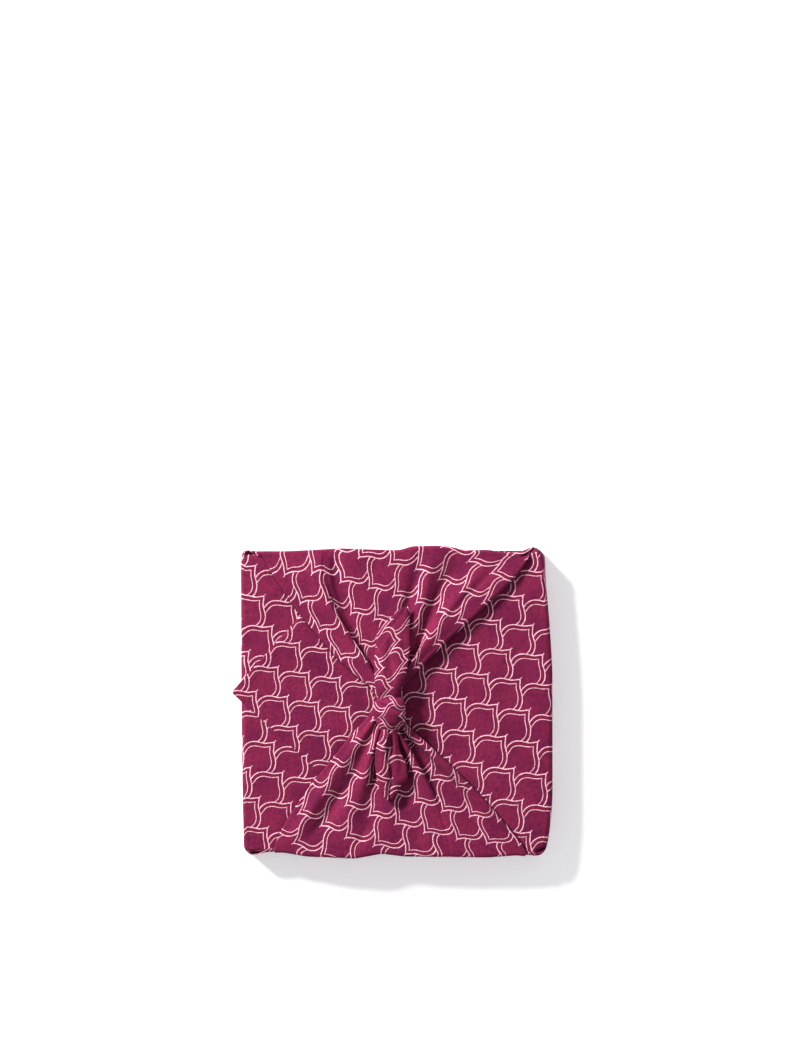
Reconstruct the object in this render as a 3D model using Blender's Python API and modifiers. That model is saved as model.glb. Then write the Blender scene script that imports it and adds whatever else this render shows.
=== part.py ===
"""A furoshiki wrap: one square cloth folded round a flat square box and tied on top.

The west corner of the cloth lies over the box first, the east corner covers it and pokes out
at the west edge, and the gathered north and south corners end in a knot with two free tails.
The whole cloth is one thin closed body. Lengths in the tables are millimetres, +Y is north,
+Z is up, and the underside rests on z = 0.
"""

from collections import namedtuple
import math

import bmesh
import bpy
import numpy as np

MM = 0.001

# Main sizes
BOX_HALF = 165.0  # half the side of the hidden box
BOX_HEIGHT = 30.0
CLOTH = 1.2  # thickness of the built sheet
CORNER_RADIUS = 8.0  # upright corners, seen from above
RING_HEIGHT = 24.0  # the four walls are joined all round up to here
TO_MIDDLE = (2.69, -1.38)  # from the box's centre to the middle of the whole outline
OUTLINE_POWER = 4  # how closely the uneven outline keeps to the rim
BASE_SHARE = 0.4  # share of that unevenness left at the foot of the walls
LID_WAVE = 0.4  # height of the long soft waves of the lid
LID_WAVE_RUN = (38.0, 51.0)  # distance along x and y in which they turn by one radian
LID_SAG = 0.5  # how far the middle of the lid sinks
LID_SAG_RUN = (60.0, 75.0)

# Middle of each layer above the box top
WEST_LAYER = 0.8
EAST_LAYER = 2.9
FAN_LAYER = 5.0
WEST_FLOOR = 2.6  # where a rolled edge touches down on the west layer
EAST_FLOOR = 4.6  # and on the east layer
HEM_STEP = 12.0  # the rise from one to the other, past the east flap's hems

# Foot of the wall, from the flat underside outwards
FOOT = (
    # inset, height
    (12.0, 0.6),
    (4.5, 0.6),
    (1.3, 1.5),
    (0.0, 4.5),
    (0.0, 14.0),
    (0.0, RING_HEIGHT),
)

# Bend of a layer over the rim of the box, from the wall inwards
LID_INSET = 4.5
RIM_BEND = (
    # inset, distance below the lid
    (0.0, 4.0),
    (1.3, 1.2),
    (LID_INSET, 0.0),
)
# The same for a gathered flap, which stands out a little
FAN_BEND = (
    # distance out, distance below the first row of the flap
    (1.3, 3.0),
    (0.9, 0.8),
)

# Unevenness of the four sides: place along the side, how far it stands out
NORTH_OUT = ((-165, 2), (-150, -1), (-115, -1), (-56, 2.2), (-30, 1), (4, 0), (18, 4.5), (54, 5),
             (76, 0), (102, 0.5), (116, -2.5), (132, -2.5), (143, 0), (152, 5), (157, 3), (165, -2))
SOUTH_OUT = ((-165, -4), (-155, 0.5), (-140, -4), (-120, -4), (-97, 0), (-44, 2.2), (-15, -3),
             (10, 0), (100, 1), (135, -1.5), (139, 0), (145, -1), (155, 0.5), (165, -2))
EAST_OUT = ((-165, -4), (-150, 0.5), (-119, 3.8), (-104, 4.9), (36, 4.8), (83, 2), (114, -0.7),
            (138, -3), (165, -5))
WEST_OUT = ((-165, -1), (-100, 0.5), (0, 1.8), (150, 2.4), (165, 1))

Fold = namedtuple("Fold", "edge_x upper_x upper_y lower_x lower_y neck_x neck_y lifts")

# One row per fold line, west to east. A line leaves the rim at edge_x, passes the upper and
# the lower point and ends at the neck. lifts holds its height over the layer at those four.
NORTH_FOLDS = (
    Fold(-142, -112, 112, -75, 66, -26, 19, (-0.8, 0.8, 3.0, 9)),
    Fold(-108, -93, 121, -62, 73, -23, 22, (-0.2, 2.2, 4.5, 11)),
    Fold(-79, -74.5, 116, -48.5, 68, -20, 25, (1.6, 5.5, 8.0, 13)),
    Fold(-71, -69, 116, -43, 68, -18, 26, (0.2, 0.4, 1.5, 8)),
    Fold(-54, -51, 118, -31, 70, -14, 27, (1.4, 1.8, 4.0, 10)),
    Fold(-23, -21, 120, -16, 72, -12, 27, (2.0, 2.6, 5.0, 12)),
    Fold(7, 5, 120, -1, 70, -9, 27, (1.6, 2.8, 5.5, 12)),
    Fold(23, 18, 122, 6, 69, -6, 26, (2.4, 0.6, 3.2, 9)),
    Fold(42, 33, 118, 13, 66, -4, 24, (4.0, 4.0, 6.0, 12)),
    Fold(72, 46, 117, 20, 64, -1, 22, (1.6, 0.6, 2.2, 8)),
    Fold(113, 76, 116, 36, 66, 2, 20, (1.6, 4.5, 8.0, 13)),
    Fold(152, 102, 114, 51, 67, 5, 17, (1.3, 7.0, 9.0, 12)),
)
SOUTH_FOLDS = (
    Fold(-131, -106, -112, -66, -60, -23, -9, (-0.8, 0.8, 3.0, 9)),
    Fold(-112, -90, -112, -56, -63, -20, -13, (-0.2, 3.4, 6.0, 12)),
    Fold(-98, -68, -111, -42, -66, -17, -16, (0.8, 0.6, 2.5, 9)),
    Fold(-71, -47, -115, -31, -72, -15, -19, (2.0, 4.0, 7.0, 13)),
    Fold(-44, -30, -122, -22, -80, -13, -22, (2.4, 0.6, 0.4, 7)),
    Fold(-12, -8, -120, -6, -77, -10, -23, (0.6, 2.6, 3.5, 9)),
    Fold(9, 10, -117, 9, -74, -6, -24, (1.2, 0.8, 0.6, 8)),
    Fold(56, 44, -111, 27, -66, -2, -23, (2.2, 4.0, 7.5, 13)),
    Fold(89, 68, -104, 37, -58, 2, -21, (1.4, 0.6, 0.2, 6)),
    Fold(116, 87, -104, 46, -57, 4, -18, (1.8, 4.5, 8.0, 12)),
    Fold(142, 101, -109, 54, -58, 7, -15, (1.3, 5.0, 8.0, 11)),
)
NORTH_THROAT = (-9.5, 3.0, 46.0)  # where each neck ends, inside the knot
SOUTH_THROAT = (-7.5, -19.0, 46.0)
THROAT_SPREAD = 0.5  # width left of the neck there
NECK_SHARES = (0.5, 1.0)  # rows of the neck, as shares of the way to the throat
FOLD_STEPS = 2  # columns between two fold lines
FAN_ROWS = 15
FAN_INSET = 3.0
ROLL_STEPS = 4  # faces round a rolled edge
MOST_ROLL = 4.2  # radius of the rolled edges
NECK_ROLL = 1.0
NECK_ROLL_POWER = 6  # how late the roll narrows on its way to the neck
LEAST_ROLL = 0.75
TUCK_PER_RADIUS = 1.6  # cloth turned under past the roll

# East corner, lying over the west one
EAST_TIP = (-174.0, 12.0)
EAST_TIP_BLUNT = 1.2
NORTH_HEM_SLOPE = 1.14
SOUTH_HEM_SLOPE = -0.93
EAST_FREE_FROM = 134.0  # where the flap leaves the walls
WEST_FREE_FROM = -118.0
WEST_TIP_X = 160.0
WEST_TIP_BLUNT = 2.0
CORNER_COLUMNS = 4  # columns of a wall from its corner to the first fold line
SIDE_STEPS = 16  # columns along the west and east walls
WEST_LID_ROWS = 9
EAST_LID_ROWS = 17
TUCKED_HALF = 158.0  # half width of a layer where it passes under the north and south folds

Section = namedtuple("Section", "x y z half_width half_thick lean")

# The knot's outer bend, seen from north to south: centre, half width, half thickness
KNOT = (
    Section(-11, 8.5, 45.5, 5, 3.0, 0),
    Section(-10, 5.5, 47.5, 11, 8.0, 1),
    Section(-8, -1, 49.0, 15, 10.5, 2),
    Section(-6.5, -10, 49.5, 17.8, 11.0, 2),
    Section(-6.3, -20, 48.5, 17.2, 10.0, 1),
    Section(-6.8, -28, 46.5, 13.5, 8.0, 0),
    Section(-7.4, -33, 44.5, 9.5, 5.5, 0),
    Section(-8, -38, 43.8, 9.0, 3.0, 0),
)
# Free tails: lean tips the section, its east side up when positive
NORTH_TAIL = (
    Section(-9, 4, 47.0, 8.5, 3.0, 0),
    Section(-8, 20, 52.0, 12.0, 3.4, 0.5),
    Section(-4.5, 34, 51.5, 16.5, 2.6, 1.0),
    Section(-3.2, 50, 48.5, 19.3, 2.0, 1.5),
    Section(-1.8, 68, 45.5, 18.2, 1.8, 1.5),
    Section(-1.0, 82, 43.5, 16.8, 1.6, 1.0),
    Section(4.5, 92, 42.5, 11.2, 1.4, 0.5),
    Section(10.2, 99, 42.0, 5.8, 1.1, 0),
    Section(14.2, 104.5, 41.6, 1.4, 0.8, 0),
)
SOUTH_TAIL = (
    Section(-7, -26, 46.0, 7.5, 3.6, 0),
    Section(-7.6, -35, 46.0, 9.5, 3.4, 0),
    Section(-7.5, -46, 46.5, 13.5, 2.8, -1.0),
    Section(-5.5, -57, 46.0, 16.5, 2.2, -1.5),
    Section(-4.3, -70, 44.8, 17.2, 1.9, -1.5),
    Section(-4.0, -80, 43.6, 16.2, 1.7, -1.0),
    Section(-6.2, -90, 42.6, 12.0, 1.5, -0.5),
    Section(-7.5, -98, 42.0, 7.2, 1.2, 0),
    Section(-7.4, -104, 41.6, 1.6, 0.8, 0),
)
TAIL_CREASES = 1.2  # height of the soft lengthwise folds of a tail
TAIL_CREASE_COUNT = 2.5  # how many of them lie side by side
RING_POINTS = 20

MERGE = 0.02  # rows that meet closer than this become one
CLOTH_COLOUR = (0.26, 0.022, 0.098, 1.0)
CLOTH_ROUGHNESS = 0.85


def clear_scene():
    for obj in list(bpy.data.objects):
        bpy.data.objects.remove(obj, do_unlink=True)


def along(table, place):
    """The value of a two-column table at a place, by straight lines."""
    places, values = zip(*table)
    return float(np.interp(place, places, values))


def through_four(values, t):
    """The smooth curve through four values that stand at 0, 1/3, 2/3 and 1."""
    a, b, c, d = values
    first = -4.5 * (t - 1 / 3) * (t - 2 / 3) * (t - 1)
    second = 13.5 * t * (t - 2 / 3) * (t - 1)
    third = -13.5 * t * (t - 1 / 3) * (t - 1)
    fourth = 4.5 * t * (t - 1 / 3) * (t - 2 / 3)
    return a * first + b * second + c * third + d * fourth


def on_outline(x, y, z):
    """Rounds the upright corners and lets the sides stand out unevenly."""
    inner = BOX_HALF - CORNER_RADIUS
    over_x = abs(x) - inner
    over_y = abs(y) - inner
    if over_x > 0 and over_y > 0:
        pull = max(over_x, over_y) / math.hypot(over_x, over_y)
        x = math.copysign(inner + over_x * pull, x)
        y = math.copysign(inner + over_y * pull, y)
    share = BASE_SHARE + (1 - BASE_SHARE) * min(1.0, z / RING_HEIGHT)
    near_x = share * min(1.0, abs(x) / BOX_HALF) ** OUTLINE_POWER
    near_y = share * min(1.0, abs(y) / BOX_HALF) ** OUTLINE_POWER
    out_x = along(EAST_OUT, y) if x > 0 else -along(WEST_OUT, y)
    out_y = along(NORTH_OUT, x) if y > 0 else -along(SOUTH_OUT, x)
    return x + near_x * out_x, y + near_y * out_y, z


def lid_height(x, y):
    """The top of the hidden box as the first layer lies on it, with a slight sag."""
    sag = LID_SAG * math.cos(x / LID_SAG_RUN[0]) * math.cos(y / LID_SAG_RUN[1])
    return BOX_HEIGHT + LID_WAVE * math.sin(x / LID_WAVE_RUN[0] + y / LID_WAVE_RUN[1]) - sag


def add_vert(bm, x, y, z):
    """A vertex from millimetres about the box, moved so that the origin is mid-outline."""
    return bm.verts.new(((x + TO_MIDDLE[0]) * MM, (y + TO_MIDDLE[1]) * MM, z * MM))


def add_grid(bm, rows):
    """Faces between rows of points in millimetres; a row is a list of (x, y, z)."""
    verts = [[add_vert(bm, *point) for point in row] for row in rows]
    for below, above in zip(verts, verts[1:]):
        for i in range(len(below) - 1):
            bm.faces.new((below[i], below[i + 1], above[i + 1], above[i]))
    return verts


def fold_stations(folds):
    """Where the columns of a gathered side leave the rim."""
    edges = [fold.edge_x for fold in folds]
    steps = np.arange((len(folds) - 1) * FOLD_STEPS + 1) / FOLD_STEPS
    return [float(np.interp(step, range(len(edges)), edges)) for step in steps]


def side_stations(folds):
    """All columns of the north or the south wall, corner to corner."""
    inner = BOX_HALF - CORNER_RADIUS
    middle = BOX_HALF - CORNER_RADIUS / 2
    return [-BOX_HALF, -middle, -inner, *fold_stations(folds), inner, middle, BOX_HALF]


def upright_stations():
    """Columns of the west and the east wall, closer together at the corners."""
    inner = BOX_HALF - CORNER_RADIUS
    middle = BOX_HALF - CORNER_RADIUS / 2
    plain = [float(v) for v in np.linspace(-inner, inner, SIDE_STEPS - 3)]
    return [-BOX_HALF, -middle, *plain, middle, BOX_HALF]


def ring_points(side, inset, z):
    """One side's row of wall points, anticlockwise seen from above."""
    half = BOX_HALF - inset
    scale = half / BOX_HALF
    if side == "north":
        corners = [(x * scale, half) for x in reversed(side_stations(NORTH_FOLDS))]
    elif side == "south":
        corners = [(x * scale, -half) for x in side_stations(SOUTH_FOLDS)]
    elif side == "east":
        corners = [(half, y * scale) for y in upright_stations()]
    else:
        corners = [(-half, y * scale) for y in reversed(upright_stations())]
    return [on_outline(x, y, z) for x, y in corners]


def add_tray(bm):
    """The underside and the joined part of the four walls."""
    for side in ("east", "north", "west", "south"):
        add_grid(bm, [ring_points(side, inset, z) for inset, z in FOOT])
    inset, z = FOOT[0]
    rim = []
    for side in ("east", "north", "west", "south"):
        rim += ring_points(side, inset, z)[:-1]
    bm.faces.new([add_vert(bm, *point) for point in reversed(rim)])


def skirt(points, layer):
    """Rows from the wall's ring up over the rim to a lid, for ring points (x, y)."""
    rows = [[on_outline(x, y, RING_HEIGHT) for x, y in points]]
    for inset, drop in RIM_BEND:
        scale = (BOX_HALF - inset) / BOX_HALF
        z = BOX_HEIGHT + layer - drop
        rows.append([on_outline(x * scale, y * scale, z) for x, y in points])
    rows[-1] = [(x, y, lid_height(x, y) + layer) for x, y, _ in rows[-1]]
    return rows


def lid_row(north_x, south_x, north_y, south_y, layer):
    """A row of lid points from south to north between two end points."""
    row = []
    for place in upright_stations():
        share = (place / BOX_HALF + 1) / 2
        x = south_x + (north_x - south_x) * share
        y = south_y + (north_y - south_y) * share
        x, y, _ = on_outline(x, y, BOX_HEIGHT)
        row.append((x, y, lid_height(x, y) + layer))
    return row


def add_lid(bm, side, layer, free_rows):
    """A flap over the box top: its corners turn down into the walls, the rest is free."""
    sign = 1 if side == "east" else -1
    step = -1 if side == "east" else 1
    north = side_stations(NORTH_FOLDS)[::step][:CORNER_COLUMNS]
    south = side_stations(SOUTH_FOLDS)[::step][:CORNER_COLUMNS]
    add_grid(bm, skirt([(sign * BOX_HALF, y) for y in upright_stations()], layer))
    add_grid(bm, skirt([(x, BOX_HALF) for x in north], layer))
    add_grid(bm, skirt([(x, -BOX_HALF) for x in south], layer))
    scale = (BOX_HALF - LID_INSET) / BOX_HALF
    half = BOX_HALF - LID_INSET
    rows = [lid_row(n * scale, s * scale, half, -half, layer) for n, s in zip(north, south)]
    rows += [lid_row(x, x, top, bottom, layer) for x, top, bottom in free_rows]
    add_grid(bm, rows)


def west_free_rows():
    """The hidden part of the west flap, running in at 45 degrees to its corner."""
    rows = []
    for x in np.linspace(WEST_FREE_FROM, WEST_TIP_X, WEST_LID_ROWS):
        half = min(TUCKED_HALF, WEST_TIP_X + WEST_TIP_BLUNT - x)
        rows.append((float(x), half, -half))
    return rows


def east_free_rows():
    """The east flap up to its tip, which stands out past the west edge."""
    tip_x, tip_y = EAST_TIP
    rows = []
    for x in np.linspace(EAST_FREE_FROM, tip_x, EAST_LID_ROWS):
        run = float(x) - tip_x
        north = min(TUCKED_HALF, tip_y + EAST_TIP_BLUNT + run * NORTH_HEM_SLOPE)
        south = max(-TUCKED_HALF, tip_y - EAST_TIP_BLUNT + run * SOUTH_HEM_SLOPE)
        rows.append((float(x), north, south))
    return rows


def fold_point(fold, t, sign):
    """A point of a fold line at share t of the way from the rim to the neck."""
    rim_y = sign * (BOX_HALF - FAN_INSET)
    x = through_four((fold.edge_x, fold.upper_x, fold.lower_x, fold.neck_x), t)
    y = through_four((rim_y, fold.upper_y, fold.lower_y, fold.neck_y), t)
    return x, y, through_four(fold.lifts, t)


def fan_row(folds, t, sign):
    """A row across the gathered flap; heights swell and dip softly between the lines."""
    lines = [fold_point(fold, t, sign) for fold in folds]
    row = []
    for left, right in zip(lines, lines[1:]):
        for step in range(FOLD_STEPS):
            share = step / FOLD_STEPS
            soft = (1 - math.cos(math.pi * share)) / 2
            x = left[0] + (right[0] - left[0]) * share
            y = left[1] + (right[1] - left[1]) * share
            row.append((x, y, left[2] + (right[2] - left[2]) * soft))
    row.append(lines[-1])
    placed = []
    for x, y, lift in row:
        x, y, _ = on_outline(x, y, BOX_HEIGHT)
        placed.append((x, y, lid_height(x, y) + FAN_LAYER + lift))
    return placed


def squeezed(row, throat, share):
    """A row of the neck drawn together and moved towards its place inside the knot."""
    middle = row[len(row) // 2]
    spread = 1 - (1 - THROAT_SPREAD) * share
    placed = []
    for point in row:
        placed.append(tuple(
            m + (target - m) * share + (value - m) * spread
            for m, target, value in zip(middle, throat, point)
        ))
    return placed


def add_fan(bm, folds, sign, throat):
    """A gathered flap from the ring of the walls up over the rim and in to the knot."""
    shares = [row / FAN_ROWS for row in range(FAN_ROWS + 1)]
    fan = [fan_row(folds, t, sign) for t in shares]
    fan += [squeezed(fan[-1], throat, share) for share in NECK_SHARES]
    stations = fold_stations(folds)
    wall = [[on_outline(station, sign * BOX_HALF, RING_HEIGHT) for station in stations]]
    for out, drop in FAN_BEND:
        row = []
        for station, (_, _, rim_z) in zip(stations, fan[0]):
            row.append(on_outline(station, sign * (BOX_HALF + out), rim_z - drop))
        wall.append(row)
    add_grid(bm, wall + fan)
    add_roll(bm, [row[0] for row in fan], -sign)
    add_roll(bm, [row[-1] for row in fan], sign)


def floor_under(x, y):
    """Where a rolled edge touches down: on the east flap, or beyond its hems on the west one."""
    tip_x, tip_y = EAST_TIP
    run = x - tip_x
    inside = min(tip_y + run * NORTH_HEM_SLOPE - y, y - tip_y - run * SOUTH_HEM_SLOPE)
    share = min(1.0, max(0.0, 1 + inside / HEM_STEP))
    return lid_height(x, y) + WEST_FLOOR + (EAST_FLOOR - WEST_FLOOR) * share


def add_roll(bm, line, outward):
    """The outer fold of a gathered flap: cloth rolled down and tucked back under."""
    rows = []
    for i, (x, y, z) in enumerate(line):
        before = line[max(i - 1, 0)]
        after = line[min(i + 1, len(line) - 1)]
        run = math.hypot(after[0] - before[0], after[1] - before[1])
        out_x = -outward * (after[1] - before[1]) / run
        out_y = outward * (after[0] - before[0]) / run
        share = i / (len(line) - 1)
        most = MOST_ROLL + (NECK_ROLL - MOST_ROLL) * share**NECK_ROLL_POWER
        radius = min(most, max(LEAST_ROLL, (z - floor_under(x, y)) / 2))
        row = [(x, y, z)]
        for step in range(1, ROLL_STEPS + 1):
            angle = math.pi * step / ROLL_STEPS
            reach = radius * math.sin(angle)
            row.append((x + out_x * reach, y + out_y * reach, z - radius * (1 - math.cos(angle))))
        tuck = radius * TUCK_PER_RADIUS
        row.append((x - out_x * tuck, y - out_y * tuck, z - 2 * radius))
        rows.append(row)
    add_grid(bm, rows)


def cloth_material():
    material = bpy.data.materials.new("plum_cotton")
    material.use_nodes = True
    shader = material.node_tree.nodes["Principled BSDF"]
    shader.inputs["Base Color"].default_value = CLOTH_COLOUR
    shader.inputs["Roughness"].default_value = CLOTH_ROUGHNESS
    shader.inputs["Metallic"].default_value = 0.0
    return material


def object_of(bm, name, collection):
    mesh = bpy.data.meshes.new(name)
    bm.to_mesh(mesh)
    bm.free()
    obj = bpy.data.objects.new(name, mesh)
    collection.objects.link(obj)
    return obj


def build_sheet(collection):
    bm = bmesh.new()
    add_tray(bm)
    add_lid(bm, "west", WEST_LAYER, west_free_rows())
    add_lid(bm, "east", EAST_LAYER, east_free_rows())
    add_fan(bm, NORTH_FOLDS, 1, NORTH_THROAT)
    add_fan(bm, SOUTH_FOLDS, -1, SOUTH_THROAT)
    bmesh.ops.remove_doubles(bm, verts=bm.verts[:], dist=MERGE * MM)
    bmesh.ops.recalc_face_normals(bm, faces=bm.faces[:])
    sheet = object_of(bm, "wrap_cloth", collection)
    thick = sheet.modifiers.new("cloth thickness", "SOLIDIFY")
    thick.thickness = CLOTH * MM
    thick.offset = 0.0
    thick.use_even_offset = True
    thick.use_rim = True
    return sheet


def add_loft(bm, sections, creases):
    """A closed body through lying oval sections, with soft lengthwise folds."""
    rings = []
    for number, part in enumerate(sections):
        ring = []
        fade = math.sin(math.pi * number / (len(sections) - 1))
        for step in range(RING_POINTS):
            angle = 2 * math.pi * step / RING_POINTS
            across = math.cos(angle)
            fold = creases * fade * math.cos(TAIL_CREASE_COUNT * math.pi * across)
            x = part.x + part.half_width * across
            z = part.z + part.half_thick * math.sin(angle) + part.lean * across + fold
            ring.append(add_vert(bm, x, part.y, z))
        rings.append(ring)
    for first, second in zip(rings, rings[1:]):
        for i in range(RING_POINTS):
            j = (i + 1) % RING_POINTS
            bm.faces.new((first[i], first[j], second[j], second[i]))
    bm.faces.new(rings[0][::-1])
    bm.faces.new(rings[-1])
    bmesh.ops.recalc_face_normals(bm, faces=bm.faces[:])


def build_loft(name, sections, creases, collection):
    bm = bmesh.new()
    add_loft(bm, sections, creases)
    return object_of(bm, name, collection)


def join_to(target, other):
    """Adds another closed body to the cloth, so that the two are one."""
    union = target.modifiers.new("with " + other.name, "BOOLEAN")
    union.operation = "UNION"
    union.solver = "EXACT"
    union.use_self = True
    union.object = other


def new_collection(name, hidden=False):
    collection = bpy.data.collections.new(name)
    bpy.context.scene.collection.children.link(collection)
    collection.hide_render = hidden
    return collection


def hide_helper(obj):
    obj.hide_render = True
    obj.display_type = "WIRE"


def main():
    clear_scene()
    wrap = new_collection("furoshiki wrap")
    helpers = new_collection("knot bodies", hidden=True)
    cloth = build_sheet(wrap)
    cloth.data.materials.append(cloth_material())
    for name, sections, creases in (
        ("knot", KNOT, 0.0),
        ("north tail", NORTH_TAIL, TAIL_CREASES),
        ("south tail", SOUTH_TAIL, TAIL_CREASES),
    ):
        body = build_loft(name, sections, creases, helpers)
        hide_helper(body)
        join_to(cloth, body)


main()
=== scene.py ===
"""A furoshiki wrap on a pale floor: the printed cloth as one thin folded sheet on the part's frame.

Lengths in the tables are millimetres about the middle of the hidden box, +Y is north, +Z is up.
"""

from collections import namedtuple
import math

import bmesh
import bpy
import numpy as np
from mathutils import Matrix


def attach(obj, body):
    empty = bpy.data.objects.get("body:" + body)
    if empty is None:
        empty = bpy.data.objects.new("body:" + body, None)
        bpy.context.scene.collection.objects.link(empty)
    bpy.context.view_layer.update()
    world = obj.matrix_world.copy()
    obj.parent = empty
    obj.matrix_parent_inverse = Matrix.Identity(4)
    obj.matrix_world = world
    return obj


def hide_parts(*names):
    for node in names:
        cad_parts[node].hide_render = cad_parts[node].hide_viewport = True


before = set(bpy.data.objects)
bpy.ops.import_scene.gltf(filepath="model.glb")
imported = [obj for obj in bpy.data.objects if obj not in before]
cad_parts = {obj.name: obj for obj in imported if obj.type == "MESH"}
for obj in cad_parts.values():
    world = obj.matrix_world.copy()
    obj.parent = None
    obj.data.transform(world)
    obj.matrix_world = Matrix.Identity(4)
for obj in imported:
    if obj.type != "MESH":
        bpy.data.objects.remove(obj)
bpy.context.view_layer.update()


MM = 0.001

# Sizes of the folded cloth
BOX_HALF = 165.0
BOX_HEIGHT = 30.0
CORNER_RADIUS = 8.0
RING_HEIGHT = 24.0  # the four walls are joined all round up to here
TO_MIDDLE = (2.69, -1.38)  # from the box's centre to the middle of the whole outline
OUTLINE_POWER = 4
BASE_SHARE = 0.4

# Heights of the layers above the box top
WEST_LAYER = 0.7
EAST_LAYER = 2.2
FAN_LAYER = 4.4
LAYER_GAP = 0.5
FREE_RIM = 10.0  # stretch of a fan along the rim that may dip below the flap beside it
HEM_STEP = 10.0
LID_SAG = 0.5  # sag of the box top, and its run to the east and to the north
LID_SAG_RUN = (60.0, 75.0)
LID_WAVE = 0.4
LID_WAVE_RUN = (38.0, 51.0)

RIM_RADIUS = 4.5
RIM_REACH = 201.0  # cloth from the middle of the underside to the fans' rim
RIM_STEPS = 7
FOOT = (
    # inset, height
    (12, 0.3), (8, 0.3), (5, 0.4), (3, 0.8), (1.5, 1.6), (0.6, 3), (0.1, 4.8), (0, 7), (0, 10),
    (0, 13), (0, 16), (0, 19), (0, 21.5), (0, RING_HEIGHT))

# Unevenness of the four sides: place along the side, how far it stands out
NORTH_OUT = (
    (-165, 2), (-150, -1), (-115, -1), (-56, 2.2), (-30, 1), (4, 0), (18, 4.5), (54, 5),
    (76, 0), (102, 0.5), (116, -2.5), (132, -2.5), (143, 0), (152, 5), (157, 3), (165, -2))
SOUTH_OUT = (
    (-165, -4), (-155, 0.5), (-140, -4), (-120, -4), (-97, 0), (-44, 2.2), (-15, -3),
    (10, 0), (100, 1), (135, -1.5), (139, 0), (145, -1), (155, 0.5), (165, -2))
EAST_OUT = (
    (-165, -4), (-150, 0.5), (-119, 3.8), (-104, 4.9), (36, 4.8), (83, 2), (114, -0.7),
    (138, -3), (165, -5))
WEST_OUT = (
    (-165, -1), (-100, 0.5), (0, 1.8), (150, 2.4), (165, 1))
FAN_SIDE_SMOOTH = 3.0  # how softly the kinks of these tables are rounded off
LID_SIDE_SMOOTH = 6.0
LOOKUP_END = 200.0
LOOKUP_STEP = 0.5

FAR_AWAY = 1e9
MERGE = 0.03  # points of neighbouring grids closer than this become one

Fold = namedtuple("Fold", "edge_x upper_x upper_y lower_x lower_y neck_x neck_y lifts cloth_p cloth_q")

# One row per fold line, west to east. A line leaves the rim at edge_x, passes the upper and the
# lower point and ends at the neck. lifts holds its height over the layer at those four, and
# cloth_p and cloth_q say which place of the flat cloth lies there.
NORTH_FOLDS = [Fold(*row) for row in (
    (-142, -112, 112, -75, 66, -26, 19, (0.2, 1.2, 3.2, 9), (-165, -142, -119, -88), (183, 235, 285, 336)),
    (-108, -93, 121, -62, 73, -23, 22, (-0.2, 2.6, 5, 11), (-127, -116, -98, -82), (192, 231, 281, 333)),
    (-79, -74.5, 116, -48.5, 68, -20, 25, (2.2, 7.4, 9.4, 13), (-93, -95, -83, -75), (198, 239, 287, 331)),
    (-75, -71, 116, -44.7, 68, -18.5, 25.6, (1.6, 5.6, 7.8, 12), (-88, -91, -78, -72), (197, 240, 287, 330)),
    (-72, -68.4, 116, -47, 68, -19, 25.6, (1, 3, 2.2, 10), (-83, -87, -66, -30), (195, 238, 284, 324)),
    (-64, -60, 116, -39, 68, -17, 26, (-0.2, -0.8, 0.2, 8), (-72, -75, -51, -8), (191, 233.5, 279.5, 318)),
    (-52, -48, 118, -30, 70, -14, 27, (1.4, 2.6, 4, 10), (-60, -62, -36, -4), (188, 232, 277, 316)),
    (-23, -21, 120, -16, 72, -12, 27, (2, 2.6, 5, 12), (-32, -28, -15, 0), (189, 229, 275, 316)),
    (7, 5, 120, -1, 70, -9, 27, (1.6, 2.8, 5.5, 12), (-1, 5, 8, 5), (187, 227, 275, 316)),
    (23, 18, 122, 6, 69, -6, 26, (2.4, 0.6, 3.2, 9), (16, 22, 19, 10), (186, 224, 275, 317)),
    (42, 33, 118, 13, 66, -4, 24, (4, 4, 6, 12), (37, 43, 31, 14), (183, 226, 278, 318)),
    (72, 47, 117, 27, 65, -1, 22, (1.4, -0.4, 1, 8), (67, 62, 48, 20), (178, 225, 278, 320)),
    (113, 74, 116, 31.5, 66, 2, 20, (1.6, 5.8, 10, 13.5), (105, 97, 60.5, 26), (168, 220, 274, 321)),
    (149, 102, 114, 51, 67, 5, 17, (1.3, 5.8, 7, 10.5), (137, 131, 91, 33), (156, 215, 270, 323)),
)]
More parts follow.
